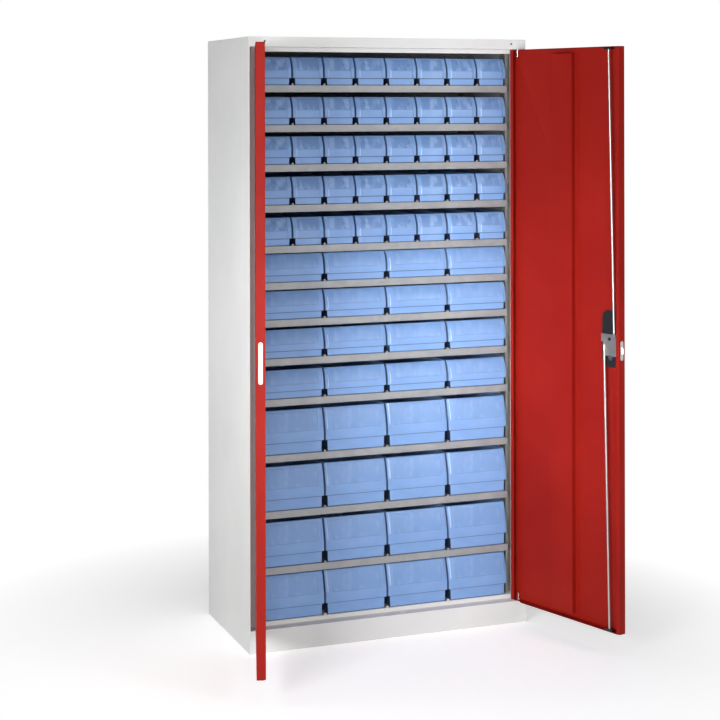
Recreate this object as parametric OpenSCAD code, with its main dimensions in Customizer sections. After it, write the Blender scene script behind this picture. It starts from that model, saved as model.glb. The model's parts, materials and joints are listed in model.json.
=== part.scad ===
// Steel parts cabinet with two wing doors, twelve shelves and seventy-two open-fronted bins.
// Millimetres. The origin is on the floor, in the middle of the front face; the doors open
// towards -Y and the back is towards +Y. The doors are drawn open, as they stand in use.

/* [Cabinet] */
// Overall width
cabinet_w = 1000; // [900:10:1100]
// Depth from the front face to the back face
cabinet_d = 460; // [445:5:600]
// Height from the floor to the roof
cabinet_h = 2000; // [1800:10:2200]
// Thickness of the carcass sheet
sheet = 1.5; // [1:0.1:2]
// Height of the plinth, up to the ledge in front of the floor
plinth_h = 75; // [60:5:90]
// Height of the floor above the ledge
floor_step = 13.5; // [10:0.5:20]
// Height of the front rail under the roof
rail_h = 33; // [28:1:45]
// Height of the door stop lip that hangs behind the rail
rail_lip_h = 14; // [8:1:20]
// How far the stiles and the stop lips stand behind the front face
recess = 38; // [37:0.5:45]
// Width of the stile that closes the front of each side
stile_w = 33; // [30:1:40]
// Depth of the flange on the inner edge of each stile
stile_return = 12; // [8:1:18]
// Width of the flanges that hold the back panel
back_flange = 30; // [15:1:45]

/* [Shelves] */
// Pitch of the four tall rows, from the floor upwards; another height stretches all pitches
tall_rows = [174, 183, 184, 183]; // [170:1:200]
// Pitch of the four low rows of wide bins, going on upwards
low_rows = [133, 127, 122, 120]; // [119:1:140]
// Pitch of the lower four rows of small bins, going on upwards
small_rows = [134, 133, 130, 131]; // [119:1:140]
// Room from the top shelf up to the door stop lip
top_row = 110.5; // [105:0.5:130]
// Height of a shelf's folded edge
shelf_edge = 23; // [18:1:25]
// Depth of the hem under a shelf's front and back edges
shelf_hem = 11; // [6:1:18]
// Gap between the front of a shelf and the back of the closed doors' room
shelf_setback = 1; // [0.5:0.5:4]
// Gap between the back of a shelf and the back panel
shelf_back_gap = 12; // [5:1:25]
// Height of the spacer nibs on a shelf's front edge
nib_h = 6; // [3:0.5:8]
// Width of a spacer nib
nib_w = 6; // [3:0.5:8]
// Depth of a spacer nib
nib_d = 6; // [4:0.5:12]

/* [Uprights] */
// Width of a slotted upright
upright_w = 38; // [30:1:50]
// Gap between an upright's face and the ends of the shelves
shelf_end_gap = 3; // [1:0.5:6]
// Height step of the slots
slot_pitch = 50; // [25:5:75]
// Height of a slot
slot_h = 12; // [8:1:15]
// Width of a slot
slot_w = 5; // [3:0.5:8]
// How far a shelf clip reaches under its shelf
clip_reach = 16; // [10:1:20]
// Width of a shelf clip
clip_w = 20; // [10:1:25]

/* [Bins] */
// Room beside a row of bins, for the uprights and the side
bin_side_room = 52; // [52:1:60]
// Gap between neighbouring bins
bin_gap = 1.5; // [1:0.1:3]
// Height of the small bins and of the wide low bins; another cabinet height stretches it too
low_bin_h = 92; // [70:1:93]
// Height of the wide tall bins; another cabinet height stretches it too
tall_bin_h = 142; // [120:1:146]
// Length of a bin from front to back
bin_d = 398; // [300:1:398]
// Thickness of a bin's walls
bin_wall = 2.4; // [1.5:0.1:3]
// Height of a low bin's narrow base
low_base_h = 24; // [15:1:35]
// Height of a tall bin's narrow base
tall_base_h = 38; // [25:1:50]
// How far a bin's base stands in from its sides at the top
base_inset = 5.5; // [5:0.1:8]
// How much further the base draws in at its foot
base_taper = 2; // [0.5:0.5:4]
// How far the base stands behind the bin's front
base_step = 1.5; // [0.5:0.1:2]
// How far a bin's front leans back at the top
front_lean = 20; // [10:1:30]
// Width of the plain margin on each side of a bin's label field
label_margin = 14; // [8:1:20]
// Depth of the label field
label_depth = 1.2; // [0.5:0.1:1.4]

/* [Doors] */
// Thickness of the doors at their free edges
door_t = 28; // [26:0.5:30]
// Thickness of the doors at their hinge edges
hinge_side_t = 20; // [18:0.5:22]
// Thickness of the door sheet
door_sheet = 1.2; // [0.8:0.1:1.5]
// Gap between the two closed doors
door_meet_gap = 3; // [2:0.5:5]
// Gap over, under and beside a closed door
door_gap = 2; // [1.5:0.5:4]
// Distance of the hinge pins from the doors' hinge edges
pin_inset = 22.5; // [20:0.5:25]
// Distance of the hinge pins from the doors' front faces
pin_depth = 5.5; // [5:0.1:7]
// Radius of the hinge pins
pin_r = 3; // [2:0.1:3.3]
// Angle at which the open doors stand
open_angle = 108; // [95:1:108]
// Width of the lip along a door's free edge
free_lip = 12; // [8:0.5:14]
// Width of the lip along a door's hinge edge
hinge_lip = 14; // [10:0.5:20]
// Distance of the stiffener from the hinge edge
stiffener_from_hinge = 193; // [150:1:220]
// Width of the stiffener's crown
stiffener_w = 91; // [60:1:110]
// Height of the stiffener's crown above the door's face
stiffener_t = 20; // [12:0.5:22]
// Width of the stiffener's welded flanges
stiffener_flange = 14; // [8:1:20]
// Gap between the stiffener's ends and the door's end flanges
stiffener_end_gap = 18; // [5:1:40]

/* [Lock] */
// Distance of the spindle and the rods from the free edge
lock_from_edge = 47; // [44:0.5:50]
// Height of the spindle above the floor
spindle_z = 1020; // [900:5:1150]
// Width of the handle tray
tray_w = 82; // [78:1:84]
// Height of the handle tray
tray_h = 190; // [180:1:210]
// Corner radius of the handle tray
tray_corner = 30; // [20:1:34]
// Depth of the handle tray behind the door's face
tray_depth = 12; // [10:0.5:12.5]
// Wall of the handle tray
tray_wall = 2; // [1.5:0.1:2.5]
// Width of the tray's rim on the door's face
tray_rim = 3; // [2:0.5:3.5]
// Length of the handle's grip
grip_len = 68; // [50:1:70]
// Width of the handle's grip
grip_w = 16; // [12:0.5:20]
// Radius of the spindle
spindle_r = 6; // [4:0.1:7]
// Width of the lock case
case_w = 74; // [66:1:78]
// Thickness of the lock case
case_t = 6; // [5.5:0.1:6.5]
// How far the lock case reaches above the spindle
case_above = 15; // [14:1:20]
// How far the lock case reaches below the spindle
case_below = 55; // [45:1:55]
// Distance of the two rod pins from the spindle
cam_radius = 22; // [20:0.5:24]
// Angle of the cam's arm above the level while unlocked
cam_angle = 14; // [0:1:25]
// Radius of the rod pins
cam_pin_r = 2.5; // [2:0.1:3]
// Thickness of the cam and of the rods' flat eyes
cam_t = 2; // [1.5:0.1:2.2]
// Radius of the rods
rod_r = 3.5; // [3:0.1:3.8]
// Height of the latch bolt's middle above the floor, less the spindle's height
latch_drop = 33; // [28:1:36]
// Height of the latch bolt
latch_h = 21; // [16:1:24]
// Thickness of the latch bolt
latch_t = 4; // [3:0.1:4.2]
// How far the latch bolt stands out of the door's edge
latch_out = 6; // [5:0.5:7]
// Distance of the key cylinder below the spindle
cylinder_drop = 61; // [60:1:66]
// Radius of the key cylinder
cylinder_r = 8; // [7:0.1:9]
// Length of the strike cup in the left door
strike_len = 125; // [100:1:140]
// Width of the strike cup
strike_w = 13; // [11:0.5:14]
// Depth of the strike cup
strike_depth = 8; // [7.5:0.5:12]

/* [Hidden] */
$fn = 48;
over = 1;                                // how far a cutting body runs past what it cuts
clearance = 0.3;                         // round pieces that turn or slide past each other
pin_clearance = 0.1;                     // a pin in its hole
hair = 0.1;                              // keeps small loose pieces solids of their own

half_w = cabinet_w / 2;
hem = 2 * sheet;                         // the folded front edge of a side panel
side_front = half_w - hem;               // where the door's room ends
floor_z = plinth_h + floor_step;
rail_z = cabinet_h - rail_h;
roof_z = cabinet_h - sheet;
back_y = cabinet_d - 2 * sheet;          // front of the back panel
stile_x = side_front - stile_w + sheet;  // inner edge of a stile

// Shelf tops, counted from the lowest shelf upwards; the rows fill the cabinet's height
row_heights = concat(tall_rows, low_rows, small_rows);
function sum_to(list, n) = n == 0 ? 0 : list[n - 1] + sum_to(list, n - 1);
shelf_count = len(row_heights);
rows_room = rail_z - rail_lip_h - floor_z;
row_scale = rows_room / (sum_to(row_heights, shelf_count) + top_row);
shelf_z = [for (i = [1:shelf_count]) floor_z + row_scale * sum_to(row_heights, i)];
shelf_y = recess - 1 + shelf_setback;
shelf_end_y = back_y - shelf_back_gap;

bin_y = shelf_y + 1;
small_count = 8;
wide_count = small_count / 2;
bin_pitch = (cabinet_w - 2 * bin_side_room) / small_count; // a wide bin takes two places
low_h = row_scale * low_bin_h;
tall_h = row_scale * tall_bin_h;
low_base = row_scale * low_base_h;
tall_base = row_scale * tall_base_h;
shelf_half = small_count * bin_pitch / 2 + 1;
upright_x = shelf_half + shelf_end_gap;
upright_front_y = recess + stile_return + 12;
upright_back_y = shelf_end_y - upright_w - 10;

door_h = rail_z - plinth_h - 2 * door_gap;
door_z = plinth_h + door_gap;
hinge_x = side_front - door_gap + 0.5;   // the doors' hinge edge, while closed
free_x = door_meet_gap / 2;              // the doors' free edge, while closed
door_w = hinge_x - free_x;
pin_x = hinge_x - pin_inset;
pin_reach = 25;
washer_r = 6;

lock_x = free_x + lock_from_edge;
case_y = tray_depth;                     // front of the lock case
case_back = case_y + case_t;
eye_gap = 0.5;
cam_y = case_back + clearance;
eye_y = cam_y + cam_t + eye_gap;
rod_y = eye_y + cam_t / 2;
latch_y = case_y + case_t / 2;
latch_z = spindle_z - latch_drop;
cylinder_z = spindle_z - cylinder_drop;
latch_travel = latch_out;
strike_rise = 27;
strike_shift = 1.5;
cam_pin_x = cam_radius * cos(cam_angle);
cam_pin_z = cam_radius * sin(cam_angle);
guide_h = 8;
guide_w = 30;
guide_slot = 18;
guide_play = 1;
rod_hole_w = guide_slot + 2;
rod_hole_d = 2 * (rod_r + guide_play) + 2;
rod_top = door_z + door_h - 1;
rod_bottom = door_z + 1;
eye_r = 6;

// Rows are numbered from the top, as the shelves are filled
row_count = shelf_count + 1;
small_row_count = 5;
low_row_count = 4;
function row_floor(row) = row == row_count ? floor_z : shelf_z[shelf_count - row];
function is_tall(row) = row > small_row_count + low_row_count;

small_row_names = [for (row = [1:small_row_count]) str("small_bins_row_", row)];
wide_bin_names = [
    for (row = [small_row_count + 1:row_count]) for (place = [1:wide_count]) wide_bin_name(row, place)
];
function wide_bin_name(row, place) = str(is_tall(row) ? "tall_bin_" : "low_bin_", row, "_", place);

carcass_grey = [0.86, 0.87, 0.87];
shelf_grey = [0.70, 0.71, 0.72];
door_red = [0.62, 0.11, 0.09];
bin_blue = [0.36, 0.50, 0.78];
steel = [0.75, 0.75, 0.74];
zinc = [0.62, 0.62, 0.60];
black = [0.06, 0.06, 0.07];

// ---------------------------------------------------------------- shared shapes

// A sheet folded square along a path of its middle line
module folded(path, t) {
    for (i = [0:len(path) - 2]) {
        low = [min(path[i].x, path[i + 1].x), min(path[i].y, path[i + 1].y)];
        high = [max(path[i].x, path[i + 1].x), max(path[i].y, path[i + 1].y)];
        translate(low - [t / 2, t / 2]) square(high - low + [t, t]);
    }
}

// A drawing in Y and Z, run along X from the middle
module along_x(length) {
    translate([-length / 2, 0, 0]) rotate([90, 0, 90]) linear_extrude(length) children();
}

// A drawing in X and Z, run along Y from y_from to y_to
module along_y(y_from, y_to) {
    translate([0, y_to, 0]) rotate([90, 0, 0]) linear_extrude(y_to - y_from) children();
}

// A box between two corners
module block(low, high) {
    translate(low) cube(high - low);
}

module rounded_rect(size, r) {
    square([size.x - 2 * r, size.y], center = true);
    square([size.x, size.y - 2 * r], center = true);
    for (x = [-1, 1]) for (y = [-1, 1]) {
        translate([x * (size.x / 2 - r), y * (size.y / 2 - r)]) circle(r);
    }
}

// A slot with round ends, size.x long and size.y wide
module round_slot(size) {
    square([size.x - size.y, size.y], center = true);
    for (x = [-1, 1]) translate([x * (size.x - size.y) / 2, 0]) circle(size.y / 2);
}

// ---------------------------------------------------------------- carcass

// The right side: skin, folded front edge, stile and back flange
module side_panel() {
    t = sheet;
    skin_x = half_w - t / 2;
    difference() {
        linear_extrude(roof_z) folded([
            [half_w - back_flange, cabinet_d - t / 2], [skin_x, cabinet_d - t / 2], [skin_x, t / 2],
            [skin_x - t, t / 2], [skin_x - t, recess + t / 2]
        ], t);
        block([side_front - over, -over, rail_z], [half_w + over, t, cabinet_h]);
    }
    translate([0, 0, floor_z]) linear_extrude(roof_z - floor_z) folded([
        [skin_x - t, recess + t / 2], [stile_x + t / 2, recess + t / 2],
        [stile_x + t / 2, recess + stile_return]
    ], t);
}

module right_side_panel() {
    color(carcass_grey) side_panel();
}

module left_side_panel() {
    color(carcass_grey) mirror([1, 0, 0]) side_panel();
}

module back_panel() {
    color(carcass_grey)
        block([-half_w + sheet, back_y, 0], [half_w - sheet, back_y + sheet, roof_z]);
}

// Roof, rail, stop lip and rear flange; the rods pass through a slot in the rail's underside
module top_panel() {
    t = sheet;
    rear_drop = 25;
    color(carcass_grey) difference() {
        union() {
            along_x(cabinet_w) folded([
                [cabinet_d - t / 2, roof_z + t / 2], [t / 2, roof_z + t / 2], [t / 2, rail_z + t / 2]
            ], t);
            along_x(2 * side_front) folded([
                [t / 2, rail_z + t / 2], [recess - t / 2, rail_z + t / 2],
                [recess - t / 2, rail_z - rail_lip_h]
            ], t);
            along_x(cabinet_w - 2 * back_flange - 2) folded([
                [cabinet_d - t / 2, roof_z + t / 2], [cabinet_d - t / 2, cabinet_h - rear_drop]
            ], t);
        }
        rod_hole(rail_z);
    }
}

// Floor, upstand, ledge, plinth and foot flange, with spacer nibs for the wide bins
module base_panel() {
    t = sheet;
    foot_flange = 24;
    color(carcass_grey) {
        difference() {
            along_x(2 * side_front) folded([
                [back_y - t / 2, floor_z - t / 2], [recess + t / 2, floor_z - t / 2],
                [recess + t / 2, plinth_h - t / 2], [t / 2, plinth_h - t / 2], [t / 2, t / 2],
                [foot_flange, t / 2]
            ], t);
            rod_hole(plinth_h - t);
        }
        translate([0, 0, floor_z]) spacer_nibs(wide_count, recess);
    }
}

// The slot that lets a rod out of the closed door into the rail or the ledge
module rod_hole(z) {
    translate([lock_x, rod_y, z - over]) linear_extrude(sheet + 2 * over)
        round_slot([rod_hole_w, rod_hole_d]);
}

module spacer_nibs(places, y) {
    pitch = small_count * bin_pitch / places;
    for (i = [1:places - 1]) {
        x = (i - places / 2) * pitch;
        block([x - nib_w / 2, y + 1, hair], [x + nib_w / 2, y + 1 + nib_d, nib_h]);
    }
}

// ---------------------------------------------------------------- shelves and uprights

module slotted_upright(y) {
    t = sheet;
    side_x = half_w - sheet;
    first_slot = floor_z + slot_pitch;
    difference() {
        translate([0, 0, floor_z]) linear_extrude(rail_z - rail_lip_h - floor_z) folded([
            [side_x - t / 2, y + t / 2], [upright_x + t / 2, y + t / 2],
            [upright_x + t / 2, y + upright_w - t / 2], [side_x - t / 2, y + upright_w - t / 2]
        ], t);
        for (z = [first_slot:slot_pitch:rail_z - 2 * slot_pitch]) {
            block(
                [upright_x - over, y + upright_w / 2 - slot_w / 2, z],
                [upright_x + t + over, y + upright_w / 2 + slot_w / 2, z + slot_h]
            );
        }
    }
    for (top = shelf_z) shelf_clip(y + (upright_w - clip_w) / 2, top - shelf_edge);
}

// A folded clip that hangs on the upright and carries one corner of a shelf
module shelf_clip(y, z) {
    t = shelf_end_gap / 2;
    x = upright_x - hair;
    block([x - clip_reach, y, z - t], [x, y + clip_w, z]);
    block([x - t, y, z], [x, y + clip_w, z + shelf_edge / 2]);
}

module slotted_uprights() {
    color(zinc) for (side = [0, 1]) mirror([side, 0, 0]) {
        slotted_upright(upright_front_y);
        slotted_upright(upright_back_y);
    }
}

// A pan with folded edges all round, hems along the front and the back
module shelf(places) {
    t = sheet;
    drop = t / 2 - shelf_edge;
    along_x(2 * shelf_half) folded([
        [shelf_y + shelf_hem, drop], [shelf_y + t / 2, drop], [shelf_y + t / 2, -t / 2],
        [shelf_end_y - t / 2, -t / 2], [shelf_end_y - t / 2, drop], [shelf_end_y - shelf_hem, drop]
    ], t);
    for (side = [0, 1]) mirror([side, 0, 0]) {
        block([shelf_half - t, shelf_y, -shelf_edge], [shelf_half, shelf_end_y, 0]);
    }
    spacer_nibs(places, shelf_y);
}

module shelves() {
    first_small = len(tall_rows) + len(low_rows);
    color(shelf_grey) for (i = [0:shelf_count - 1]) {
        translate([0, 0, shelf_z[i]]) shelf(i >= first_small - 1 ? small_count : wide_count);
    }
}

// ---------------------------------------------------------------- bins

// How far the front stands back at a height, as a share of the way up the leaning part
lean_steps = 5;
function lean(share) = front_lean * pow(share, 1.6);

// The line of a bin's front from the base's step up to the rim, shifted back by inward
function front_line(h, base_h, inward) = let (bend = 0.45 * h)
    concat([[inward, base_h]], [
        for (i = [0:lean_steps])
            let (share = i / lean_steps) [lean(share) + inward, bend + share * (h - bend)]
    ]);

// A bin's outline from the side; grow is how far the cavity's outline runs above the rim
module bin_side(h, base_h, inset, low, grow) {
    polygon(concat(
        [[base_step + inset, low], [base_step + inset, base_h]],
        front_line(h, base_h, inset),
        [
            [front_lean + inset, h + grow], [bin_d - inset, h + grow], [bin_d - inset, low]
        ]
    ));
}

// A bin's outline from the front
module bin_front(w, h, base_h, inset, low, grow) {
    half = w / 2 - inset;
    waist = half - base_inset;
    foot = waist - base_taper;
    polygon([
        [-foot, low], [foot, low], [waist, base_h], [half, base_h],
        [half, h + grow], [-half, h + grow], [-half, base_h], [-waist, base_h]
    ]);
}

// A bin with its front at y = 0, standing on z = 0 and centred on x = 0
module bin(w, h, base_h) {
    difference() {
        intersection() {
            along_x(w) bin_side(h, base_h, 0, 0, 0);
            along_y(0, bin_d) bin_front(w, h, base_h, 0, 0, 0);
        }
        intersection() {
            along_x(w) bin_side(h, base_h + bin_wall, bin_wall, bin_wall, over);
            along_y(0, bin_d) bin_front(w, h, base_h + bin_wall, bin_wall, bin_wall, over);
        }
        label_field(w, h);
    }
}

// The shallow field for a label, which follows the leaning front
module label_field(w, h) {
    bend = 0.45 * h;
    from = 1 / lean_steps;
    to = 1 - 0.5 / lean_steps;
    shares = [for (i = [0:4]) from + (to - from) * i / 4];
    along_x(w - 2 * label_margin) polygon(concat(
        [for (share = shares) [lean(share) + label_depth, bend + share * (h - bend)]],
        [for (i = [4:-1:0]) [-over, bend + shares[i] * (h - bend)]]
    ));
}

module small_bins(row) {
    for (place = [1:small_count]) {
        translate([(place - (small_count + 1) / 2) * bin_pitch, bin_y, row_floor(row)])
            bin(bin_pitch - bin_gap, low_h, low_base);
    }
}

module wide_bin(row, place) {
    tall = is_tall(row);
    translate([(place - (wide_count + 1) / 2) * 2 * bin_pitch, bin_y, row_floor(row)])
        bin(2 * bin_pitch - bin_gap, tall ? tall_h : low_h, tall ? tall_base : low_base);
}

// ---------------------------------------------------------------- doors

// Puts a piece of the right door, drawn closed, where it stands open
module right_door_open() {
    translate([pin_x, pin_depth, 0]) rotate([0, 0, open_angle])
        translate([-pin_x, -pin_depth, 0]) children();
}

module left_door_open() {
    mirror([1, 0, 0]) right_door_open() children();
}

// A fixed pin and its washer above and below each door
module hinge_pins() {
    color(steel) for (side = [0, 1]) mirror([side, 0, 0]) {
        translate([pin_x, pin_depth, plinth_h]) {
            cylinder(r = pin_r, h = pin_reach);
            cylinder(r = washer_r, h = door_gap - clearance / 2);
        }
        translate([pin_x, pin_depth, rail_z - pin_reach]) cylinder(r = pin_r, h = pin_reach);
        translate([pin_x, pin_depth, rail_z - 1]) cylinder(r = washer_r, h = 1);
    }
}

// A folded pan, closed, drawn for the right side of the cabinet
module door_pan() {
    t = door_sheet;
    difference() {
        union() {
            translate([0, 0, door_z]) linear_extrude(door_h) folded([
                [hinge_x - hinge_lip, hinge_side_t - t / 2], [hinge_x - t / 2, hinge_side_t - t / 2],
                [hinge_x - t / 2, t / 2], [free_x + t / 2, t / 2], [free_x + t / 2, door_t - t / 2],
                [free_x + free_lip, door_t - t / 2]
            ], t);
            for (z = [door_z, door_z + door_h - t]) translate([0, 0, z])
                linear_extrude(t) door_end();
        }
        for (z = [door_z - over, door_z + door_h - t - over]) translate([pin_x, pin_depth, z])
            cylinder(r = pin_r + pin_clearance, h = t + 2 * over);
        corner_notches();
    }
}

// The end flange's outline, drawn back at the hinge so that it clears the stile
module door_end() {
    ramp = 12;
    start = hinge_x - 3 * hinge_lip;
    polygon([
        [free_x, 0], [hinge_x, 0], [hinge_x, hinge_side_t], [start, hinge_side_t],
        [start - ramp, door_t], [free_x, door_t]
    ]);
}

// The relief cuts where the free edge's lip meets the end flanges
module corner_notches() {
    notch = 5;
    for (z = [door_z - over, door_z + door_h - notch]) {
        block([free_x - over, door_t - notch, z], [free_x + notch, door_t + over, z + notch + over]);
    }
}

// A hat section, open at its ends
module stiffener() {
    t = door_sheet;
    far = hinge_x - stiffener_from_hinge;
    near = far - stiffener_w;
    base = t + t / 2;
    crown = stiffener_t - t / 2;
    translate([0, 0, door_z + stiffener_end_gap]) linear_extrude(door_h - 2 * stiffener_end_gap)
        folded([
            [near - stiffener_flange, base], [near + t / 2, base], [near + t / 2, crown],
            [far - t / 2, crown], [far - t / 2, base], [far + stiffener_flange, base]
        ], t);
}

module left_door_panel() {
    color(door_red) left_door_open() difference() {
        door_pan();
        strike_place(strike_len - 2, strike_w - 2, -over, strike_depth);
    }
}

// An oblong in the left door's free edge, from one depth behind the edge to another
module strike_place(length, width, from, to) {
    translate([free_x + from, latch_y - strike_shift, latch_z + strike_rise]) rotate([0, 90, 0])
        linear_extrude(to - from) round_slot([length, width]);
}

module left_door_stiffener() {
    color(door_red) left_door_open() stiffener();
}

// A flanged cup that takes the latch bolt's nose
module strike_plate() {
    wall = 1;
    rim = 1;
    color("white") left_door_open() difference() {
        union() {
            strike_place(strike_len, strike_w, -rim, 0);
            strike_place(strike_len - 2 - clearance, strike_w - 2 - clearance, -rim, strike_depth);
        }
        strike_place(
            strike_len - 2 - clearance - 2 * wall, strike_w - 2 - clearance - 2 * wall,
            -rim - over, strike_depth - wall
        );
    }
}

module right_door_panel() {
    t = door_sheet;
    color(door_red) right_door_open() difference() {
        door_pan();
        translate([lock_x, 0, spindle_z]) along_y(-over, t + over)
            rounded_rect([tray_w - 2 * tray_rim, tray_h - 2 * tray_rim], tray_corner - tray_rim);
        latch_window(free_x - over, free_x + t + over);
        for (z = [door_z, door_z + door_h - t]) translate([lock_x, rod_y, z - over])
            linear_extrude(t + 2 * over) round_slot([rod_hole_w, rod_hole_d]);
    }
}

// The window that the latch bolt's nose passes through
module latch_window(x_from, x_to) {
    play = 2 * clearance;
    block(
        [x_from, latch_y - latch_t / 2 - play, latch_z - latch_h / 2 - play],
        [x_to, latch_y + latch_t / 2 + play, latch_z + latch_h / 2 + play]
    );
}

module right_door_stiffener() {
    color(door_red) right_door_open() stiffener();
}

// ---------------------------------------------------------------- lock

// A dish let into the door's face, with a rim that covers the cut-out's edge
module handle_tray() {
    body_w = tray_w - 2 * tray_rim - clearance;
    body_h = tray_h - 2 * tray_rim - clearance;
    rim_t = 1.5;
    color(black) right_door_open() difference() {
        translate([lock_x, 0, spindle_z]) {
            along_y(-rim_t, 0) rounded_rect([tray_w, tray_h], tray_corner);
            along_y(-rim_t, tray_depth) rounded_rect([body_w, body_h], tray_corner - tray_rim);
        }
        translate([lock_x, 0, spindle_z]) along_y(-rim_t - over, tray_depth - tray_wall)
            rounded_rect(
                [body_w - 2 * tray_wall, body_h - 2 * tray_wall], tray_corner - tray_rim - tray_wall
            );
        translate([lock_x, tray_depth - tray_wall, spindle_z]) rotate([-90, 0, 0])
            translate([0, 0, -over]) cylinder(r = spindle_r + clearance, h = tray_wall + 2 * over);
        translate([lock_x, tray_depth - tray_wall, cylinder_z]) rotate([-90, 0, 0])
            translate([0, 0, -over]) cylinder(r = cylinder_r + clearance, h = tray_wall + 2 * over);
    }
}

// A flat case with the latch's channel, the spindle's bore and the curved stop slot
module lock_case() {
    play = clearance;
    slot_r = 34;
    slot_half = 12;
    left = lock_x - case_w / 2;
    foot_cut = 10;
    color(zinc) right_door_open() difference() {
        translate([lock_x, 0, spindle_z]) along_y(case_y, case_back) polygon([
            [-case_w / 2, case_above], [-case_w / 2, -case_below + foot_cut],
            [-case_w / 2 + foot_cut, -case_below], [case_w / 2 - 2 * foot_cut, -case_below],
            [case_w / 2 - foot_cut, -case_below + foot_cut], [case_w / 2 - foot_cut, -foot_cut],
            [case_w / 2, -foot_cut], [case_w / 2, case_above]
        ]);
        block(
            [left - over, latch_y - latch_t / 2 - play, latch_z - latch_h / 2 - play],
            [lock_x + latch_travel + 2, latch_y + latch_t / 2 + play, latch_z + latch_h / 2 + play]
        );
        translate([lock_x, case_y - over, spindle_z]) rotate([-90, 0, 0])
            cylinder(r = spindle_r + clearance, h = case_t + 2 * over);
        translate([lock_x, case_y - over, cylinder_z]) rotate([-90, 0, 0])
            cylinder(r = cylinder_r + clearance, h = case_t + 2 * over);
        translate([lock_x, 0, spindle_z]) along_y(case_back - 0.6, case_back + over)
            intersection() {
                difference() {
                    circle(slot_r + 2.5);
                    circle(slot_r - 2.5);
                }
                translate([-slot_half, -slot_r - 5]) square([2 * slot_half, slot_r]);
            }
    }
}

module latch_faceplate() {
    plate_h = 63;
    plate_w = 14;
    plate_t = 1;
    color(steel) right_door_open() difference() {
        translate([free_x - plate_t, latch_y, latch_z]) rotate([0, 90, 0])
            linear_extrude(plate_t) round_slot([plate_h, plate_w]);
        latch_window(free_x - plate_t - over, free_x + over);
    }
}

// A black guide under the door's top flange and another over its bottom flange
module rod_guides() {
    t = door_sheet;
    front = rod_y - rod_r - guide_play - 2;
    color(black) right_door_open()
        for (z = [door_z + t, door_z + door_h - t - guide_h]) difference() {
            block(
                [lock_x - guide_w / 2, front, z],
                [lock_x + guide_w / 2, door_t - 0.5, z + guide_h]
            );
            translate([lock_x, rod_y, z - over]) linear_extrude(guide_h + 2 * over)
                round_slot([guide_slot, 2 * (rod_r + guide_play)]);
        }
}

// A flat bolt with a bevelled nose, led by the channel in the lock case
module latch_bolt() {
    nose = free_x - latch_out;
    tail = lock_x;
    bevel = latch_t - 1.5;
    color(steel) right_door_open() translate([0, 0, latch_z - latch_h / 2])
        linear_extrude(latch_h) translate([0, latch_y - latch_t / 2]) polygon([
            [nose, 0], [tail, 0], [tail, latch_t], [nose + 1.5 * bevel, latch_t],
            [nose, latch_t - bevel]
        ]);
}

// The grip lies level while the rods are drawn in
module turn_handle() {
    hub_r = 17;
    hub_front = 3;
    grip_front = -8;
    tray_floor = tray_depth - tray_wall;
    cap_r = grip_w / 2 - 1;
    color(black) right_door_open() translate([lock_x, 0, spindle_z]) {
        along_y(grip_front, hub_front) round_slot([grip_len, grip_w]);
        along_y(hub_front, tray_floor - clearance) circle(hub_r);
        along_y(tray_floor - clearance, cam_y + cam_t) circle(spindle_r);
        along_y(grip_front - 1, grip_front) circle(cap_r);
    }
}

// A disc with two arms; each arm carries the pin of one rod
module lock_cam() {
    arm = 2 * eye_r;
    color(steel) right_door_open() translate([lock_x, 0, spindle_z]) rotate([0, cam_angle, 0]) {
        along_y(cam_y, cam_y + cam_t) difference() {
            union() {
                circle(14);
                round_slot([2 * cam_radius + arm, arm]);
            }
            circle(spindle_r + pin_clearance / 2);
        }
        for (side = [-1, 1]) translate([side * cam_radius, cam_y + cam_t, 0]) rotate([-90, 0, 0])
            cylinder(r = cam_pin_r, h = eye_gap + cam_t + 1);
    }
}

// A keyed plug; its flange lies in the tray
module lock_cylinder() {
    flange_t = 4;
    flange_r = cylinder_r + 2.5;
    tray_floor = tray_depth - tray_wall - clearance;
    color(steel) right_door_open() translate([lock_x, 0, cylinder_z]) difference() {
        union() {
            along_y(tray_floor - flange_t, tray_floor) circle(flange_r);
            along_y(tray_floor, case_back - 1) circle(cylinder_r);
        }
        along_y(tray_floor - flange_t - over, tray_floor) square([2, cylinder_r], center = true);
    }
}

// A round rod with a flat eye on a cam pin; side is +1 for the upper rod and -1 for the lower.
// The eye's end lies side * cam_pin_x towards the free edge, and the far end in its guide.
module rod(side, far_z) {
    pin = [lock_x - side * cam_pin_x, spindle_z + side * cam_pin_z];
    run = [lock_x - pin.x, far_z - pin.y];
    tilt = atan2(run.x, run.y * side);
    length = norm(run);
    eye_len = 2.5 * eye_r;
    right_door_open() translate([pin.x, rod_y, pin.y]) rotate([0, side * tilt, 0])
        mirror([0, 0, side > 0 ? 0 : 1]) {
            translate([0, -cam_t / 2, 0]) along_y(0, cam_t) difference() {
                union() {
                    circle(eye_r);
                    translate([-eye_r / 1.5, 0]) square([eye_r / 0.75, eye_len]);
                }
                circle(cam_pin_r + pin_clearance);
            }
            translate([0, 0, eye_len]) cylinder(r = rod_r, h = length - eye_len);
        }
}

module upper_rod() {
    color(steel) rod(1, rod_top);
}

module lower_rod() {
    color(steel) rod(-1, rod_bottom);
}

// ---------------------------------------------------------------- drawing

left_side_panel();
right_side_panel();
back_panel();
top_panel();
base_panel();
slotted_uprights();
shelves();
hinge_pins();
left_door_panel();
left_door_stiffener();
strike_plate();
right_door_panel();
right_door_stiffener();
handle_tray();
lock_case();
latch_faceplate();
rod_guides();
latch_bolt();
turn_handle();
lock_cam();
lock_cylinder();
upper_rod();
lower_rod();
for (row = [1:small_row_count]) {
    color(bin_blue) small_bins(row);
}
for (row = [small_row_count + 1:row_count]) for (place = [1:wide_count]) {
    color(bin_blue) wide_bin(row, place);
}
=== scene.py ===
"""Looks of the parts cabinet: materials, moulded bins, small fittings, light and camera."""

import json
import math
from collections import namedtuple

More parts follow.
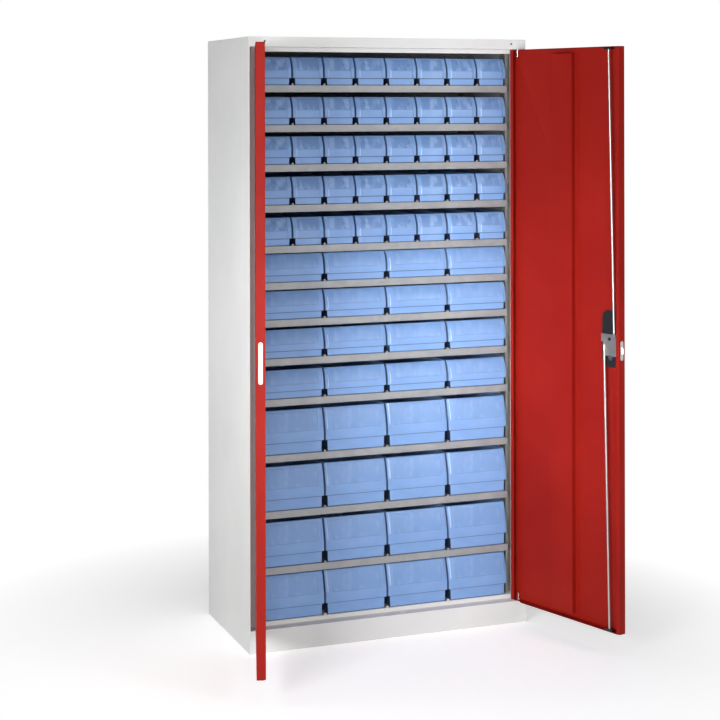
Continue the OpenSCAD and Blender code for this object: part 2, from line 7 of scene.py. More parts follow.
import bmesh
import bpy
from mathutils import Matrix, Vector


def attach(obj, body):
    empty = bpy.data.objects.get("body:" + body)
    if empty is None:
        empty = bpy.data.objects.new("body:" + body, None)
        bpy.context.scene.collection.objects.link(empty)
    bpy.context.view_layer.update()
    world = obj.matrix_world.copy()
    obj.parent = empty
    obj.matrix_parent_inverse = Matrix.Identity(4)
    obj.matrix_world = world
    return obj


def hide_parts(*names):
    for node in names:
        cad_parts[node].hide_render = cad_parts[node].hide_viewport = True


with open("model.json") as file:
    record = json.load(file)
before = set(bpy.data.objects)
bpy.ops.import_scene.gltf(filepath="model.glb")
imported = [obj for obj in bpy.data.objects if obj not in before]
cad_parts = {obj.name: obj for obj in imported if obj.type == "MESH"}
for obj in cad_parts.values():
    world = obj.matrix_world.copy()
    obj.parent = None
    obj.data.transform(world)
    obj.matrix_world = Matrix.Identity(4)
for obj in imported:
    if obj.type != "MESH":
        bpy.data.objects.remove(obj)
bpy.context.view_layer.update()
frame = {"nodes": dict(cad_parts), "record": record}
nodes = frame["nodes"]
scene = bpy.context.scene
MM = 0.001

# ------------------------------------------------------------------ sizes, as in the part's source

FLOOR_Z = 88.5
ROWS_UP = [174, 183, 184, 183, 133, 127, 122, 120, 134, 133, 130, 131]
SHELF_Z = [FLOOR_Z + sum(ROWS_UP[: i + 1]) for i in range(12)]
PITCH, GAP, BIN_Y, BIN_D, WALL = 112.0, 1.5, 39.0, 398.0, 2.4
LOW_H, LOW_BASE, TALL_H, TALL_BASE = 92.0, 24.0, 142.0, 38.0
PIVOT = Vector((473.0, 5.5, 0.0))
OPEN = math.radians(108)
DOOR_Z, DOOR_H = 77.0, 1888.0

# from a closed door's millimetres to the open door's metres
RIGHT = (
    Matrix.Scale(MM, 4)
    @ Matrix.Translation(PIVOT)
    @ Matrix.Rotation(OPEN, 4, "Z")
    @ Matrix.Translation(-PIVOT)
)
LEFT = Matrix.Scale(-1, 4, (1, 0, 0)) @ RIGHT
FIXED = Matrix.Scale(MM, 4)


def row_floor(row):
    return FLOOR_Z if row == 13 else SHELF_Z[12 - row]


# ------------------------------------------------------------------ materials


class Mat:
    """A node material with short helpers; every surface gets colour, roughness and bump from nodes."""

    def __init__(self, name):
        self.mat = bpy.data.materials.new(name)
        self.mat.use_nodes = True
        self.tree = self.mat.node_tree
        self.bsdf = self.tree.nodes["Principled BSDF"]
        self.coord = self.add("ShaderNodeTexCoord").outputs["Object"]

    def add(self, kind, **inputs):
        node = self.tree.nodes.new(kind)
        for key, value in inputs.items():
            setattr(node, key, value)
        return node

    def link(self, a, b):
        self.tree.links.new(a, b)

    def scaled(self, x=1.0, y=1.0, z=1.0):
        m = self.add("ShaderNodeMapping")
        m.inputs["Scale"].default_value = (x, y, z)
        self.link(self.coord, m.inputs["Vector"])
        return m.outputs["Vector"]

    def noise(self, scale, detail=3.0, rough=0.5, vector=None):
        n = self.add("ShaderNodeTexNoise")
        n.inputs["Scale"].default_value = scale
        n.inputs["Detail"].default_value = detail
        n.inputs["Roughness"].default_value = rough
        self.link(vector or self.coord, n.inputs["Vector"])
        return n.outputs["Fac"]

    def ramp(self, fac, stops):
        r = self.add("ShaderNodeValToRGB")
        while len(r.color_ramp.elements) < len(stops):
            r.color_ramp.elements.new(0.5)
        for element, (pos, colour) in zip(r.color_ramp.elements, stops):
            element.position = pos
            element.color = (*colour, 1) if len(colour) == 3 else colour
        self.link(fac, r.inputs["Fac"])
        return r.outputs["Color"]

    def span(self, fac, low, high, from_low=0.3, from_high=0.7):
        m = self.add("ShaderNodeMapRange")
        m.inputs["From Min"].default_value = from_low
        m.inputs["From Max"].default_value = from_high
        m.inputs["To Min"].default_value = low
        m.inputs["To Max"].default_value = high
        self.link(fac, m.inputs["Value"])
        return m.outputs["Result"]

    def math(self, op, a, b):
        m = self.add("ShaderNodeMath", operation=op)
        for i, v in enumerate((a, b)):
            if isinstance(v, (int, float)):
                m.inputs[i].default_value = v
            else:
                self.link(v, m.inputs[i])
        return m.outputs[0]

    def mix(self, fac, a, b):
        m = self.add("ShaderNodeMix", data_type="RGBA")
        for i, v in ((0, fac), (6, a), (7, b)):
            if isinstance(v, (int, float)):
                m.inputs[i].default_value = v
            elif isinstance(v, tuple):
                m.inputs[i].default_value = (*v, 1)
            else:
                self.link(v, m.inputs[i])
        return m.outputs[2]

    def bump(self, height, distance, strength=1.0, below=None):
        b = self.add("ShaderNodeBump")
        b.inputs["Distance"].default_value = distance
        b.inputs["Strength"].default_value = strength
        self.link(height, b.inputs["Height"])
        if below is not None:
            self.link(below, b.inputs["Normal"])
        return b.outputs["Normal"]

    def edge(self, radius):
        """About 1 on edges and corners, 0 on faces."""
        bevel = self.add("ShaderNodeBevel", samples=4)
        bevel.inputs["Radius"].default_value = radius
        geo = self.add("ShaderNodeNewGeometry")
        dot = self.add("ShaderNodeVectorMath", operation="DOT_PRODUCT")
        self.link(bevel.outputs["Normal"], dot.inputs[0])
        self.link(geo.outputs["Normal"], dot.inputs[1])
        return self.span(dot.outputs["Value"], 1.0, 0.0, 0.86, 0.99)

    def wire(self, colour=None, rough=None, normal=None):
        for value, socket in ((colour, "Base Color"), (rough, "Roughness"), (normal, "Normal")):
            if value is not None:
                self.link(value, self.bsdf.inputs[socket])

    def set(self, **values):
        for key, value in values.items():
            self.bsdf.inputs[key.replace("_", " ")].default_value = value


def srgb(r, g, b):
    def f(c):
        c /= 255
        return c / 12.92 if c <= 0.04045 else ((c + 0.055) / 1.055) ** 2.4

    return (f(r), f(g), f(b))


def paint(name, base, dark, light, rough=0.42, peel=0.00012, gloss=0.3):
    """Powder coat: a fine orange peel, a faint drift in shade, and handled edges."""
    m = Mat(name)
    drift = m.noise(3.1, 4)
    colour = m.ramp(drift, [(0.3, dark), (0.52, base), (0.75, light)])
    fine = m.noise(900, 2)
    colour = m.mix(m.span(fine, 0.0, 0.10), colour, dark)
    worn = m.math("MULTIPLY", m.edge(0.0012), m.span(m.noise(60, 4), 0.0, 0.35, 0.45, 0.7))
    colour = m.mix(worn, colour, light)
    peel_fac = m.noise(420, 3, 0.45)
    m.wire(
        colour,
        m.span(m.noise(14, 5), rough - 0.05, rough + 0.07),
        m.bump(fine, peel * 0.25, 0.5, m.bump(peel_fac, peel, 0.6)),
    )
    m.set(Specular_IOR_Level=gloss)
    return m.mat


body_paint = paint("body_paint", srgb(222, 223, 222), srgb(217, 218, 218), srgb(227, 228, 226))
door_paint = paint("door_paint", srgb(143, 25, 17), srgb(136, 22, 15), srgb(152, 30, 20), 0.5, gloss=0.11)


def bin_plastic():
    """Moulded polypropylene: pale scuffs, sink marks, faint flow lines, a fine spark texture and a darker
    label field, with painted shade in slots and gaps, a painted highlight on the left shoulders and
    painted reflections on the label fields.
    """
    m = Mat("blue_plastic")
    base, dark, light = srgb(127, 164, 216), srgb(118, 155, 209), srgb(140, 176, 224)
    info = m.add("ShaderNodeObjectInfo")
    drift = m.noise(9, 4)
    colour = m.ramp(drift, [(0.28, dark), (0.5, base), (0.78, light)])
    flow = m.noise(1.0, 3, 0.5, m.scaled(14, 14, 160))
    colour = m.mix(m.span(flow, 0.0, 0.22), colour, light)
    tint = m.span(info.outputs["Random"], 0.0, 0.16, 0.0, 1.0)
    colour = m.mix(tint, colour, dark)
    on_label = m.add("ShaderNodeAttribute", attribute_name="field").outputs["Fac"]
    colour = m.mix(m.math("MULTIPLY", on_label, 0.75), colour, srgb(106, 141, 194))
    # painted shade: dark navy on the slot sides under the bins, on the bins' sides in the gaps, and as
    # dark lines at the base step, along the bottom and at the label field's lower and right edges
    in_painted_shade = m.add("ShaderNodeAttribute", attribute_name="slot_side").outputs["Fac"]
    colour = m.mix(m.math("MULTIPLY", in_painted_shade, 0.9), colour, srgb(16, 22, 44))
    # painted highlight: a light strip on each bin's left shoulder, where a lamp's gloss would fall
    on_painted_highlight = m.add("ShaderNodeAttribute", attribute_name="rib").outputs["Fac"]
    colour = m.mix(m.math("MULTIPLY", on_painted_highlight, 0.55), colour, srgb(196, 216, 246))
    # painted reflection: soft light blotches on the label field
    label_reflection = m.span(m.noise(1.0, 2, 0.5, m.scaled(38, 1, 16)), 0.0, 0.6, 0.48, 0.62)
    colour = m.mix(m.math("MULTIPLY", label_reflection, on_label), colour, srgb(160, 190, 232))
    scuff = m.noise(1.0, 6, 0.7, m.scaled(40, 40, 420))
    colour = m.mix(m.span(scuff, 0.0, 0.08, 0.6, 0.78), colour, srgb(182, 208, 238))
    grain = m.noise(1500, 2)
    sink = m.noise(26, 2)
    m.wire(
        colour,
        m.math("SUBTRACT", m.span(m.noise(30, 5), 0.30, 0.42), m.math("MULTIPLY", on_label, 0.06)),
        m.bump(grain, 0.00004, 0.5, m.bump(sink, 0.0006, 0.35)),
    )
    m.set(Specular_IOR_Level=0.5, Subsurface_Weight=0.08, Subsurface_Scale=0.004)
    m.bsdf.inputs["Subsurface Radius"].default_value = (0.3, 0.5, 1.0)
    return m.mat


blue_plastic = bin_plastic()


def galvanised():
    """Shelf sheet: zinc with a soft spangle and long rolling marks."""
    m = Mat("shelf_paint")
    v = m.add("ShaderNodeTexVoronoi", feature="SMOOTH_F1")
    v.inputs["Scale"].default_value = 34
    v.inputs["Smoothness"].default_value = 0.35
    m.link(m.coord, v.inputs["Vector"])
    spangle = m.add("ShaderNodeSeparateColor")
    m.link(v.outputs["Color"], spangle.inputs["Color"])
    roll = m.noise(1.0, 4, 0.6, m.scaled(3, 60, 900))
    cloud = m.noise(11, 4)
    colour = m.ramp(
        m.math("ADD", m.math("MULTIPLY", spangle.outputs["Red"], 0.35), m.math("MULTIPLY", cloud, 0.65)),
        [(0.2, srgb(152, 155, 159)), (0.5, srgb(160, 163, 166)), (0.8, srgb(169, 171, 173))],
    )
    colour = m.mix(m.span(roll, 0.0, 0.25), colour, srgb(126, 129, 133))
    m.wire(
        colour,
        m.span(m.math("ADD", m.math("MULTIPLY", roll, 0.5), m.math("MULTIPLY", cloud, 0.5)), 0.36, 0.52),
        m.bump(roll, 0.00006, 0.5),
    )
    m.set(Metallic=0.3, Specular_IOR_Level=0.4)
    return m.mat


shelf_paint = galvanised()


def metal(name, tone, dark, rough, stretch, metallic=1.0):
    """Plated steel with fine drawing lines along one direction and dull spots."""
    m = Mat(name)
    lines = m.noise(1.0, 5, 0.6, m.scaled(*stretch))
    spots = m.noise(120, 4)
    colour = m.mix(m.span(lines, 0.0, 0.5), tone, dark)
    colour = m.mix(m.span(spots, 0.0, 0.35, 0.55, 0.75), colour, dark)
    dull = m.math("ADD", m.math("MULTIPLY", lines, 0.6), m.math("MULTIPLY", spots, 0.4))
    m.wire(colour, m.span(dull, rough - 0.06, rough + 0.08), m.bump(lines, 0.00003, 0.6))
    m.set(Metallic=metallic)
    return m.mat


zinc_plate = metal("zinc_plate", srgb(190, 189, 184), srgb(150, 149, 145), 0.36, (700, 700, 30), 0.85)
bright_steel = metal("bright_steel", srgb(206, 206, 204), srgb(168, 168, 168), 0.25, (900, 900, 60))


def plastic(name, tone, dark, rough, grain=900.0, depth=0.00006):
    """Moulded plastic with an eroded texture and handling shine."""
    m = Mat(name)
    colour = m.ramp(m.noise(18, 4), [(0.3, dark), (0.7, tone)])
    fine = m.noise(grain, 2)
    m.wire(colour, m.span(m.noise(40, 4), rough - 0.06, rough + 0.08), m.bump(fine, depth, 0.6))
    return m.mat


black_plastic = plastic("black_plastic", srgb(20, 20, 21), srgb(13, 13, 14), 0.5)
white_plastic = plastic("white_plastic", srgb(238, 238, 234), srgb(228, 228, 224), 0.38)
dark_plug = plastic("dark_plug", srgb(70, 75, 88), srgb(52, 56, 66), 0.4)
natural_nylon = plastic("natural_nylon", srgb(196, 192, 182), srgb(178, 174, 164), 0.5)

by_slot = {
    "body_paint": body_paint, "shelf_paint": shelf_paint, "door_paint": door_paint,
    "blue_plastic": blue_plastic, "zinc_plate": zinc_plate, "bright_steel": bright_steel,
    "black_plastic": black_plastic, "white_plastic": white_plastic,
}
for part in frame["record"]["subparts"]:
    node = nodes[part["node"]]
    node.data.materials.clear()
    node.data.materials.append(by_slot[part["material_slot"]])

# ------------------------------------------------------------------ building pieces


def piece(name, mesh, body, material, smooth=35.0):
    ob = bpy.data.objects.new(name, mesh)
    scene.collection.objects.link(ob)
    if not mesh.materials:
        mesh.materials.append(material)
    if smooth:
        mesh.shade_smooth()
        mesh.set_sharp_from_angle(angle=math.radians(smooth))
    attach(ob, body)
    return ob


def mesh_of(name, bm, matrix=None):
    if matrix is not None:
        bm.transform(matrix)
    bmesh.ops.recalc_face_normals(bm, faces=bm.faces)
    mesh = bpy.data.meshes.new(name)
    bm.to_mesh(mesh)
    bm.free()
    return mesh


def lathe(bm, profile, centre, axis="Y", sides=32):
    """Adds (radius, distance) points revolved about an axis through centre, closed at both ends."""
    rings = []
    for r, d in profile:
        ring = []
        for i in range(sides):
            a = 2 * math.pi * i / sides
            u, v = r * math.cos(a), r * math.sin(a)
            p = {"Y": (u, d, v), "Z": (u, v, d), "X": (d, u, v)}[axis]
            ring.append(bm.verts.new(Vector(centre) + Vector(p)))
        rings.append(ring)
    for a, b in zip(rings, rings[1:]):
        for i in range(sides):
            j = (i + 1) % sides
            bm.faces.new((a[i], a[j], b[j], b[i]))
    for ring in (rings[0], rings[-1]):
        bm.faces.new(ring)


# ------------------------------------------------------------------ bins

BASE, STEP, BODY, RIM, TOP = range(5)  # the kinds of ring, from the floor up
SIDE_GAP = 1.5                         # the body stands in from the solid on each side
BASE_IN, BASE_TAPER, BASE_BACK = 7.2, 1.0, 3.0
LEAN_FROM, LEAN_BY = 0.45, 20.0        # share of the height, and how far the rim leans back
LABEL_TOP, PLATE = 0.945, 0.9          # share of the height, and how far the label field stands out
SHOULDER_SHALLOW, SHOULDER_DEEP, SHOULDER_WIDE = 0.6, 2.2, 5.0
BASE_CORNER, BODY_CORNER, BACK_CORNER = 2.2, 3.6, 5.0
CORNER_STEPS, BACK_STEPS, SHOULDER_STEPS = 6, 4, 6
LABEL_EDGE = 0.45                      # half the width of the step round the label field
DRAWN_IN = {STEP: (0.8, 0.5, 0.0), RIM: (0.25, 0.25, 0.25), TOP: (0.8, 0.8, 0.8)}  # side, front, back
# how dark the painted shade is on the bins' sides, on the lines at the base step and bottom, and under
# and right of the label field
SIDE_SHADE, SEAM_SHADE, LABEL_LOW_SHADE, LABEL_RIGHT_SHADE = 0.55, 0.8, 0.5, 0.6

# the label's side margin and low edge, how strongly it is marked, the shoulder's distance from the
# side, and where the shoulder is deep and the painted highlight shows: heights are shares of the bin's
# height
Shape = namedtuple("Shape", "margin low mark shoulder deep_from deep_to rib_from rib_to")
SMALL_SHAPE = Shape(18.0, 0.55, 1.0, 15.0, 0.0, 0.55, 0.27, 0.55)
LOW_SHAPE = Shape(24.0, 0.50, 0.35, 12.0, 0.0, 0.74, 0.3, 0.74)
TALL_SHAPE = Shape(24.0, 0.52, 0.35, 10.0, 0.52, 1.1, 0.52, 1.0)


def ease(t):
    t = min(1.0, max(0.0, t))
    return t * t * (3 - 2 * t)


def quarter(steps):
    """Cosine and sine over a quarter turn, in even steps."""
    angles = [math.pi / 2 * i / steps for i in range(steps + 1)]
    return [(math.cos(a), math.sin(a)) for a in angles]


def bin_bmesh(w, h, base_h, shape, offset=Vector((0, 0, 0)), bm=None):
    """A moulded bin: drawn-in base, leaning front with shoulders and a raised label field, round rim.

    Its points carry three marks for the material: the label field, painted shade on the slot's and
    bins' sides and in dark lines at the front, and a painted highlight on the left shoulder.
    """
    bm = bm or bmesh.new()
    layers = bm.verts.layers.float
    for name in ("field", "slot_side", "rib"):
        if name not in layers:
            layers.new(name)
    field, slot_side, rib = layers["field"], layers["slot_side"], layers["rib"]
    lean_from = LEAN_FROM * h
    field_low, field_high = shape.low * h, LABEL_TOP * h
    label_x = w / 2 - shape.margin

    def lean(z):
        t = max(0.0, (z - lean_from) / (h - lean_from))
        return LEAN_BY * t**1.6

    def shoulder(z):
        """How far the side margins stand back at a height."""
        above = ease((z - (shape.deep_from * h - 3)) / 6)
        below = ease(((shape.deep_to * h + 4) - z) / 8)
        return SHOULDER_SHALLOW + (SHOULDER_DEEP - SHOULDER_SHALLOW) * above * below

    # across the front: x and the share of the shoulder's depth at each station
    shares = [i / SHOULDER_STEPS for i in range(SHOULDER_STEPS + 1)]
    shoulder_left = -(w / 2 - shape.shoulder) - SHOULDER_WIDE / 2
    left = [(shoulder_left + SHOULDER_WIDE * t, (1 + math.cos(math.pi * t)) / 2) for t in shares]
    label = [-label_x - LABEL_EDGE, -label_x + LABEL_EDGE, -label_x * 0.5, 0.0, label_x * 0.5]
    label += [label_x - LABEL_EDGE, label_x + LABEL_EDGE, label_x + 1.9]
    stations = left + [(x, 0.0) for x in label] + [(-x, share) for x, share in reversed(left)]

    # which of a ring's points lie where, counted from the front left corner
    corner = CORNER_STEPS + 1
    front_points = range(4, 2 * corner + len(stations) - 4)
    # the points on the left shoulder that get the painted highlight
    highlight_points = range(corner + 2, corner + 5)
    label_points = range(corner + len(left) + 1, corner + len(left) + 6)

    def section(z, kind, inward):
        """One ring of the outline at a height: (x, y) from the front left round to the back left."""
        side_in, front_in, back_in = DRAWN_IN.get(kind, (0.0, 0.0, 0.0))
        if z == 0:
            side_in = front_in = 0.8
        hw = w / 2 - SIDE_GAP - inward - side_in
        front = lean(z) + inward + front_in
        if kind == BASE:
            hw -= BASE_IN + BASE_TAPER * (1 - z / base_h)
            front += BASE_BACK
        if inward:
            front += PLATE + SHOULDER_DEEP
        back = BIN_D - inward - back_in
        r = max(1.0, (BASE_CORNER if kind == BASE else BODY_CORNER) - inward)
        rb = max(1.0, BACK_CORNER - inward)
        depth = 0.0 if inward else 0.8 if kind == BASE else shoulder(z)
        face = front + (0.0 if inward else PLATE)
        shrink = (hw - r) / (w / 2 - SIDE_GAP - BODY_CORNER)
        side = [front + (back - front) * y for y in (0.25, 0.5, 0.75)]

        points = [(-hw + r - r * c, face + depth + r - r * s) for c, s in quarter(CORNER_STEPS)]
        points += [(x * shrink, face + depth * share) for x, share in stations]
        points += [(hw - r + r * s, face + depth + r - r * c) for c, s in quarter(CORNER_STEPS)]
        points += [(hw, y) for y in side]
        points += [(hw - rb + rb * c, back - rb + rb * s) for c, s in quarter(BACK_STEPS)]
        points += [(-hw + rb - rb * s, back - rb + rb * c) for c, s in quarter(BACK_STEPS)]
        points += [(-hw, y) for y in reversed(side)]
        return points

    def darkness(k, z, kind):
        """How much painted shade the outside gets at a point: the slot's sides, the bins' sides in the
        gaps, and dark lines painted for shade at the base step, the bottom and the label field's lower
        and right edges.
        """
        if k not in front_points:
            return {BASE: 1.0, BODY: SIDE_SHADE}.get(kind, 0.0)
        if kind == STEP or kind == BASE and (z >= base_h - 1.7 or z < 2.0):
            return SEAM_SHADE
        if kind == BODY and k in label_points and z == field_low - 0.5:
            return LABEL_LOW_SHADE
        if kind == BODY and k == label_points.stop and field_low < z < field_high:
            return LABEL_RIGHT_SHADE
        return 0.0

    def ring(z, kind, inward=0.0):
        """Adds one ring of points with their marks. inward is above 0 on the inside of the wall."""
        outer_body = kind == BODY and not inward
        has_label = outer_body and field_low < z < field_high
        has_painted_highlight = outer_body and shape.rib_from * h <= z <= shape.rib_to * h
        out = []
        for k, (x, y) in enumerate(section(z, kind, inward)):
            on_label = has_label and k in label_points
            vert = bm.verts.new(offset + Vector((x, y - PLATE * on_label, z)))
            vert[field] = shape.mark * on_label
            # painted shade on the slot and gap sides and on the dark lines of the front
            vert[slot_side] = 0.0 if inward else darkness(k, z, kind)
            # painted highlight on the left shoulder
            vert[rib] = float(has_painted_highlight and k in highlight_points)
            out.append(vert)
        return out

    rows = [(z, BASE) for z in (0.0, 1.0, 1.9, 3.0, base_h / 2, base_h - 2.6, base_h - 1.6, base_h)]
    rows += [(base_h, STEP), (h - 0.3, RIM), (h, TOP)]
    body = [base_h + 0.7, base_h + 3, 0.34 * h, 0.40 * h, h - 1.2]
    body += [lean_from + (h - lean_from) * i / 16 for i in range(16)]
    body += [field_low - 2.2, field_low - 0.5, field_low + 0.4, field_high - 0.4, field_high + 0.5]
    rows += [(z, BODY) for z in body]
    inside = [(h, BODY, WALL - 0.8), (h - 0.8, BODY, WALL)]
    inside += [(lean_from + (h - lean_from) * t, BODY, WALL) for t in (0.8, 0.6, 0.4, 0.2)]
    inside += [(base_h + WALL, BODY, WALL), (base_h, BASE, WALL)]
    inside += [(WALL + 3, BASE, WALL), (WALL, BASE, WALL + 3)]

    rings = [ring(z, kind) for z, kind in sorted(set(rows))] + [ring(*place) for place in inside]
    for a, b in zip(rings, rings[1:]):
        for i, j in zip(range(len(a)), [*range(1, len(a)), 0]):
            bm.faces.new((a[i], a[j], b[j], b[i]))
    bm.faces.new(rings[0][::-1])
    bm.faces.new(rings[-1])
    return bm


def moulded(node, mesh, place):
    """Puts a bin mesh at a place in millimetres, in the stead of its CAD node."""
    ob = piece(f"moulded_{node}", mesh, node + "_body", blue_plastic, 32)
    ob.location = Vector(place) * MM
    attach(ob, node + "_body")
    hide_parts(node)


WIDE = 2 * PITCH
low_mesh = mesh_of("wide_low_bin", bin_bmesh(WIDE - GAP, LOW_H, LOW_BASE, LOW_SHAPE), FIXED)
tall_mesh = mesh_of("wide_tall_bin", bin_bmesh(WIDE - GAP, TALL_H, TALL_BASE, TALL_SHAPE), FIXED)
for row in range(6, 14):
    kind, mesh = ("tall", tall_mesh) if row > 9 else ("low", low_mesh)
    for place in range(1, 5):
        moulded(f"{kind}_bin_{row}_{place}", mesh, ((place - 2.5) * WIDE, BIN_Y, row_floor(row)))

small = bmesh.new()
for place in range(1, 9):
    shift = Vector(((place - 4.5) * PITCH, 0, 0))
    bin_bmesh(PITCH - GAP, LOW_H, LOW_BASE, SMALL_SHAPE, shift, small)
small_mesh = mesh_of("small_bins", small, FIXED)
for row in range(1, 6):
    moulded(f"small_bins_row_{row}", small_mesh, (0, BIN_Y, row_floor(row)))

# ------------------------------------------------------------------ folded sheet gets small bend radii


def bends(node, width, segments=2, angle=40):
    ob = nodes[node]
    weld = ob.modifiers.new("weld", "WELD")
    weld.merge_threshold = 0.00001
    bevel = ob.modifiers.new("bends", "BEVEL")
    bevel.width = width
    bevel.segments = segments
    bevel.limit_method = "ANGLE"
    bevel.angle_limit = math.radians(angle)
    bevel.use_clamp_overlap = True
    bevel.harden_normals = False


for n in ("left_side_panel", "right_side_panel", "top_panel", "base_panel", "shelves"):
    bends(n, 0.0006)
for n in ("left_door_panel", "right_door_panel", "left_door_stiffener", "right_door_stiffener"):
    bends(n, 0.0005)
for n in ("handle_tray", "turn_handle"):
    bends(n, 0.0007)

# ------------------------------------------------------------------ small fittings


SCREW_R, SCREW_X, SCREW_Z = 8.2, 446.0, 1985.0
SCREW_SEAT = 1.7                       # behind the rail's sheet, so that only the head's crown shows
BUSH_PROFILE = [(3.2, 0), (4.0, 0), (4.2, 0.3), (4.2, 1.5), (4.0, 1.8), (3.2, 1.8)]
BUSH_HEIGHTS = {"low": DOOR_Z + 1.2, "high": DOOR_Z + DOOR_H - 3.0}


def screw(name, centre, body, material):
    """A pan-head screw in the front rail, with a raised cross."""
    bm = bmesh.new()
    r = SCREW_R
    profile = [(r * 0.98, 0.0), (r, -0.5), (r * 0.92, -1.1), (r * 0.7, -1.5), (r * 0.42, -1.7)]
    lathe(bm, profile, centre, "Y")
    for a in (0, math.pi / 2):
        verts = bmesh.ops.create_cube(bm, size=1.0)["verts"]
        m = (
            Matrix.Translation(Vector(centre) + Vector((0, -1.62, 0)))
            @ Matrix.Rotation(a + 0.35, 4, "Y")
            @ Matrix.Diagonal((5.0, 0.3, 1.0, 1.0))
        )
        bmesh.ops.transform(bm, matrix=m, verts=verts)
    return piece(name, mesh_of(name, bm, FIXED), body, material)


for side, label in ((-1, "left"), (1, "right")):
    place = (side * SCREW_X, SCREW_SEAT, SCREW_Z)
    screw(f"rail_screw_{label}", place, "cabinet", dark_plug)

for matrix, label in ((RIGHT, "right"), (LEFT, "left")):
    for where, z in BUSH_HEIGHTS.items():
        bm = bmesh.new()
        lathe(bm, BUSH_PROFILE, (PIVOT.x, PIVOT.y, z), "Z")
        mesh = mesh_of("hinge_bush", bm, matrix)
        piece(f"hinge_bush_{label}_{where}", mesh, label + "_door", natural_nylon)

# ------------------------------------------------------------------ camera

camera = bpy.data.objects.new("camera", bpy.data.cameras.new("camera"))
scene.collection.objects.link(camera)
scene.camera = camera
camera.data.sensor_width = 36
camera.data.lens = 82.35
camera.data.shift_x = 0.0831
camera.data.shift_y = -0.3557
camera.data.clip_start = 0.1
camera.data.clip_end = 100
CAMERA_PLACE, CAMERA_TURN, CAMERA_ROLL = (-2.157, -5.061, 1.781), -19.91, -0.10
camera.matrix_world = (
    Matrix.Translation(CAMERA_PLACE)
    @ Matrix.Rotation(math.radians(CAMERA_TURN), 4, "Z")
    @ Matrix.Rotation(math.radians(90), 4, "X")
    @ Matrix.Rotation(math.radians(CAMERA_ROLL), 4, "Z")
)

# ------------------------------------------------------------------ floor, light and world

FLOOR_LIFT = 0.47                        # light added where the floor is seen, so that it is pale
FADE_CENTRE, FADE_NEAR, FADE_FAR = (-0.1, 0.0, 0.0), 0.8, 1.5


def backdrop_shader():
    """A pale floor that keeps the shadow near the object and runs out to plain white further off."""
    m = Mat("studio_floor")
    tree = m.tree
    m.set(Roughness=0.9, Specular_IOR_Level=0.05)
    m.bsdf.inputs["Base Color"].default_value = (0.80, 0.80, 0.81, 1)
    path = m.add("ShaderNodeLightPath")
    seen = m.math("MAXIMUM", path.outputs["Is Camera Ray"], path.outputs["Is Glossy Ray"])
    seen = m.math("MAXIMUM", seen, path.outputs["Is Transmission Ray"])
    lift = m.add("ShaderNodeEmission")
    lift.inputs["Color"].default_value = (1, 1, 1, 1)
    m.link(m.math("MULTIPLY", seen, FLOOR_LIFT), lift.inputs["Strength"])
    lit = m.add("ShaderNodeAddShader")
    m.link(m.bsdf.outputs[0], lit.inputs[0])
    m.link(lift.outputs[0], lit.inputs[1])
    white = m.add("ShaderNodeEmission")
    white.inputs["Strength"].default_value = 1.0
    away = m.add("ShaderNodeVectorMath", operation="DISTANCE")
    m.link(m.coord, away.inputs[0])
    away.inputs[1].default_value = FADE_CENTRE
    far = m.span(away.outputs["Value"], 0.0, 1.0, FADE_NEAR, FADE_FAR)
    choose = m.add("ShaderNodeMixShader")
    m.link(m.math("MULTIPLY", far, seen), choose.inputs[0])
    m.link(lit.outputs[0], choose.inputs[1])
    m.link(white.outputs[0], choose.inputs[2])
    m.link(choose.outputs[0], tree.nodes["Material Output"].inputs["Surface"])
    return m.mat


bpy.ops.mesh.primitive_plane_add(size=60, location=(0, 0, 0))
floor = bpy.context.object
floor.name = "studio_floor"
floor.data.materials.append(backdrop_shader())

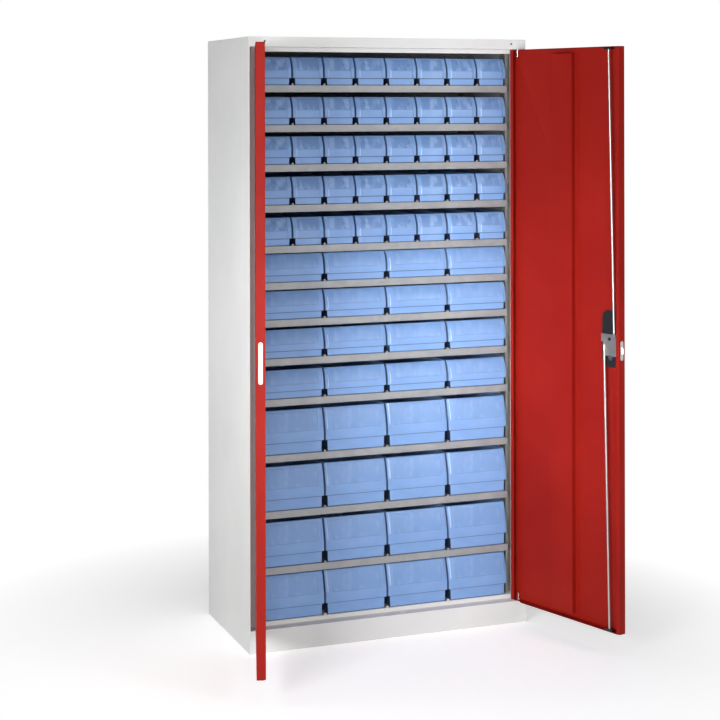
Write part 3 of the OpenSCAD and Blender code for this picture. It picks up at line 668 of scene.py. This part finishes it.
world = bpy.data.worlds.new("studio")
scene.world = world
world.use_nodes = True
wt = world.node_tree
wt.nodes.clear()
out = wt.nodes.new("ShaderNodeOutputWorld")
ambient = wt.nodes.new("ShaderNodeBackground")
ambient.inputs["Color"].default_value = (1.0, 1.0, 1.0, 1)
ambient.inputs["Strength"].default_value = 0.045
white = wt.nodes.new("ShaderNodeBackground")
white.inputs["Color"].default_value = (1, 1, 1, 1)
white.inputs["Strength"].default_value = 1.0
path = wt.nodes.new("ShaderNodeLightPath")
seen = wt.nodes.new("ShaderNodeMath")
seen.operation = "MAXIMUM"
wt.links.new(path.outputs["Is Camera Ray"], seen.inputs[0])
wt.links.new(path.outputs["Is Transmission Ray"], seen.inputs[1])
mixer = wt.nodes.new("ShaderNodeMixShader")
wt.links.new(seen.outputs[0], mixer.inputs[0])
wt.links.new(ambient.outputs[0], mixer.inputs[1])
wt.links.new(white.outputs[0], mixer.inputs[2])
wt.links.new(mixer.outputs[0], out.inputs["Surface"])


def area(name, location, target, size, power):
    """A white area lamp that points at its target and isn't seen by the camera."""
    light = bpy.data.lights.new(name, "AREA")
    light.shape = "RECTANGLE"
    light.size, light.size_y = size
    light.energy = power
    ob = bpy.data.objects.new(name, light)
    scene.collection.objects.link(ob)
    ob.visible_camera = False
    ob.location = location
    ob.rotation_euler = (Vector(target) - Vector(location)).to_track_quat("-Z", "Y").to_euler()
    return ob


LAMPS = {
    # name: (location, target, size, watts)
    "left_far": ((-3.6, -3.0, 1.6), (0.1, 0.0, 1.0), (1.6, 1.6), 150),
    "front_left": ((-1.5, -4.0, 0.9), (0.1, 0.0, 0.9), (1.4, 1.4), 66),
    "front_near": ((0.3, -2.6, 0.8), (0.1, 0.0, 0.8), (1.2, 1.0), 4),
    "right_front": ((1.95, -3.4, 2.5), (0.2, 0.0, 1.0), (1.2, 1.2), 27),
    "top": ((0.0, -0.8, 4.5), (0.0, 0.0, 0.0), (3.0, 3.0), 14),
    "side_near": ((-1.6, -0.1, 1.15), (-0.5, 0.2, 1.1), (0.5, 0.5), 3.3),
}
for lamp, values in LAMPS.items():
    area(lamp, *values)
# a narrow lamp for the bins on the right
narrow = area("bins_right", (-2.0, -2.7, 1.1), (0.44, 0.0, 0.96), (0.5, 0.5), 2.0)
narrow.data.spread = math.radians(26)

scene.view_settings.view_transform = "Standard"
